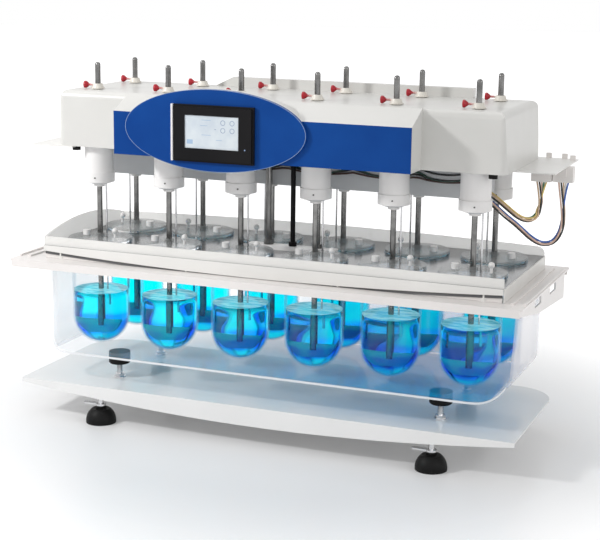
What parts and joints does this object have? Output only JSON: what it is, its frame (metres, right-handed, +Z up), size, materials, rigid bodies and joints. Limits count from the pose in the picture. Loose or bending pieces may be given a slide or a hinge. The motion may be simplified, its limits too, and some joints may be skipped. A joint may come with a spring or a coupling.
{
  "type": "dissolution tester",
  "caption": "Bench dissolution tester: two rows of paddles hang from a lifting drive head with a touch display, over glass vessels in a clear water bath on a footed base.",
  "frame": {"origin": "on the bench, under the middle of the twelve stations", "axes": "+X along the rows to the right, the display faces -Y, +Z up"},
  "size_m": [0.973, 0.364, 0.651],
  "materials": {
    "white_paint": "satin",
    "white_plastic": "satin",
    "grey_paint": "satin",
    "blue_panel": "satin",
    "black_plastic": "satin",
    "clear_plastic": "clear",
    "glass": "clear",
    "steel": "brushed",
    "black_rubber": "matt",
    "belt_rubber": "matt",
    "motor_case": "satin",
    "connector_plastic": "matt",
    "wire": "satin"
  },
  "bodies": {
    "stand": {"base_plate": "white_paint", "bath_supports": "black_rubber", "water_bath": "clear_plastic", "bath_frame": "white_paint", "vessel_tray": "white_paint", "lift_tubes": "steel", "vessel_1": "glass", "vessel_2": "glass", "vessel_3": "glass", "vessel_4": "glass", "vessel_5": "glass", "vessel_6": "glass", "vessel_7": "glass", "vessel_8": "glass", "vessel_9": "glass", "vessel_10": "glass", "vessel_11": "glass", "vessel_12": "glass"},
    "head": {"head_housing": "white_plastic", "head_chassis": "grey_paint", "front_panel": "blue_panel", "touch_display": "black_plastic", "spindle_housings": "white_plastic", "drive_belt": "belt_rubber", "drive_motor": "motor_case", "lift_rods": "steel", "sampling_tubes": "steel", "side_wings": "white_paint", "harness_connectors": "connector_plastic", "harness_inner": "wire", "harness_outer": "wire"},
    "motor_pulley": {"motor_pulley": "steel"},
    "spindle_1": {"spindle_1": "steel"},
    "spindle_2": {"spindle_2": "steel"},
    "spindle_3": {"spindle_3": "steel"},
    "spindle_4": {"spindle_4": "steel"},
    "spindle_5": {"spindle_5": "steel"},
    "spindle_6": {"spindle_6": "steel"},
    "spindle_7": {"spindle_7": "steel"},
    "spindle_8": {"spindle_8": "steel"},
    "spindle_9": {"spindle_9": "steel"},
    "spindle_10": {"spindle_10": "steel"},
    "spindle_11": {"spindle_11": "steel"},
    "spindle_12": {"spindle_12": "steel"},
    "cover_1": {"cover_1": "clear_plastic"},
    "cover_2": {"cover_2": "clear_plastic"},
    "cover_3": {"cover_3": "clear_plastic"},
    "cover_4": {"cover_4": "clear_plastic"},
    "cover_5": {"cover_5": "clear_plastic"},
    "cover_6": {"cover_6": "clear_plastic"},
    "cover_7": {"cover_7": "clear_plastic"},
    "cover_8": {"cover_8": "clear_plastic"},
    "cover_9": {"cover_9": "clear_plastic"},
    "cover_10": {"cover_10": "clear_plastic"},
    "cover_11": {"cover_11": "clear_plastic"},
    "cover_12": {"cover_12": "clear_plastic"},
    "foot_1": {"foot_1": "black_rubber"},
    "foot_2": {"foot_2": "black_rubber"},
    "foot_3": {"foot_3": "black_rubber"},
    "foot_4": {"foot_4": "black_rubber"}
  },
  "joints": [
    {"name": "head_lift", "type": "slide", "parent": "stand", "child": "head", "axis": [0, 0, 1], "range_m": [0, 0.2]},
    {"name": "spindle_1_turn", "type": "hinge", "parent": "head", "child": "spindle_1", "pos_m": [-0.355, -0.071, 0.4], "axis": [0, 0, 1], "continuous": true},
    {"name": "spindle_2_turn", "type": "hinge", "parent": "head", "child": "spindle_2", "pos_m": [-0.213, -0.071, 0.4], "axis": [0, 0, 1], "continuous": true},
    {"name": "spindle_3_turn", "type": "hinge", "parent": "head", "child": "spindle_3", "pos_m": [-0.071, -0.071, 0.4], "axis": [0, 0, 1], "continuous": true},
    {"name": "spindle_4_turn", "type": "hinge", "parent": "head", "child": "spindle_4", "pos_m": [0.071, -0.071, 0.4], "axis": [0, 0, 1], "continuous": true},
    {"name": "spindle_5_turn", "type": "hinge", "parent": "head", "child": "spindle_5", "pos_m": [0.213, -0.071, 0.4], "axis": [0, 0, 1], "continuous": true},
    {"name": "spindle_6_turn", "type": "hinge", "parent": "head", "child": "spindle_6", "pos_m": [0.355, -0.071, 0.4], "axis": [0, 0, 1], "continuous": true},
    {"name": "spindle_7_turn", "type": "hinge", "parent": "head", "child": "spindle_7", "pos_m": [-0.355, 0.071, 0.4], "axis": [0, 0, 1], "continuous": true},
    {"name": "spindle_8_turn", "type": "hinge", "parent": "head", "child": "spindle_8", "pos_m": [-0.213, 0.071, 0.4], "axis": [0, 0, 1], "continuous": true},
    {"name": "spindle_9_turn", "type": "hinge", "parent": "head", "child": "spindle_9", "pos_m": [-0.071, 0.071, 0.4], "axis": [0, 0, 1], "continuous": true},
    {"name": "spindle_10_turn", "type": "hinge", "parent": "head", "child": "spindle_10", "pos_m": [0.071, 0.071, 0.4], "axis": [0, 0, 1], "continuous": true},
    {"name": "spindle_11_turn", "type": "hinge", "parent": "head", "child": "spindle_11", "pos_m": [0.213, 0.071, 0.4], "axis": [0, 0, 1], "continuous": true},
    {"name": "spindle_12_turn", "type": "hinge", "parent": "head", "child": "spindle_12", "pos_m": [0.355, 0.071, 0.4], "axis": [0, 0, 1], "continuous": true},
    {"name": "motor_turn", "type": "hinge", "parent": "head", "child": "motor_pulley", "pos_m": [0.142, -0.077, 0.56], "axis": [0, 0, 1], "continuous": true},
    {"name": "cover_1_slide", "type": "slide", "parent": "head", "child": "cover_1", "axis": [0, 0, 1], "range_m": [0, 0.07]},
    {"name": "cover_2_slide", "type": "slide", "parent": "head", "child": "cover_2", "axis": [0, 0, 1], "range_m": [0, 0.07]},
    {"name": "cover_3_slide", "type": "slide", "parent": "head", "child": "cover_3", "axis": [0, 0, 1], "range_m": [0, 0.07]},
    {"name": "cover_4_slide", "type": "slide", "parent": "head", "child": "cover_4", "axis": [0, 0, 1], "range_m": [0, 0.07]},
    {"name": "cover_5_slide", "type": "slide", "parent": "head", "child": "cover_5", "axis": [0, 0, 1], "range_m": [0, 0.07]},
    {"name": "cover_6_slide", "type": "slide", "parent": "head", "child": "cover_6", "axis": [0, 0, 1], "range_m": [0, 0.07]},
    {"name": "cover_7_slide", "type": "slide", "parent": "head", "child": "cover_7", "axis": [0, 0, 1], "range_m": [0, 0.07]},
    {"name": "cover_8_slide", "type": "slide", "parent": "head", "child": "cover_8", "axis": [0, 0, 1], "range_m": [0, 0.07]},
    {"name": "cover_9_slide", "type": "slide", "parent": "head", "child": "cover_9", "axis": [0, 0, 1], "range_m": [0, 0.07]},
    {"name": "cover_10_slide", "type": "slide", "parent": "head", "child": "cover_10", "axis": [0, 0, 1], "range_m": [0, 0.07]},
    {"name": "cover_11_slide", "type": "slide", "parent": "head", "child": "cover_11", "axis": [0, 0, 1], "range_m": [0, 0.07]},
    {"name": "cover_12_slide", "type": "slide", "parent": "head", "child": "cover_12", "axis": [0, 0, 1], "range_m": [0, 0.07]},
    {"name": "foot_1_turn", "type": "hinge", "parent": "stand", "child": "foot_1", "pos_m": [-0.316, -0.148, 0], "axis": [0, 0, 1], "continuous": true},
    {"name": "foot_2_turn", "type": "hinge", "parent": "stand", "child": "foot_2", "pos_m": [0.316, -0.148, 0], "axis": [0, 0, 1], "continuous": true},
    {"name": "foot_3_turn", "type": "hinge", "parent": "stand", "child": "foot_3", "pos_m": [-0.316, 0.148, 0], "axis": [0, 0, 1], "continuous": true},
    {"name": "foot_4_turn", "type": "hinge", "parent": "stand", "child": "foot_4", "pos_m": [0.316, 0.148, 0], "axis": [0, 0, 1], "continuous": true}
  ],
  "couplings": [
    {"joint": "spindle_2_turn", "follows": "spindle_1_turn", "ratio": 1},
    {"joint": "spindle_3_turn", "follows": "spindle_1_turn", "ratio": 1},
    {"joint": "spindle_4_turn", "follows": "spindle_1_turn", "ratio": 1},
    {"joint": "spindle_5_turn", "follows": "spindle_1_turn", "ratio": 1},
    {"joint": "spindle_6_turn", "follows": "spindle_1_turn", "ratio": 1},
    {"joint": "spindle_7_turn", "follows": "spindle_1_turn", "ratio": 1},
    {"joint": "spindle_8_turn", "follows": "spindle_1_turn", "ratio": 1},
    {"joint": "spindle_9_turn", "follows": "spindle_1_turn", "ratio": 1},
    {"joint": "spindle_10_turn", "follows": "spindle_1_turn", "ratio": 1},
    {"joint": "spindle_11_turn", "follows": "spindle_1_turn", "ratio": 1},
    {"joint": "spindle_12_turn", "follows": "spindle_1_turn", "ratio": 1},
    {"joint": "motor_turn", "follows": "spindle_1_turn", "ratio": 1.375}
  ]
}
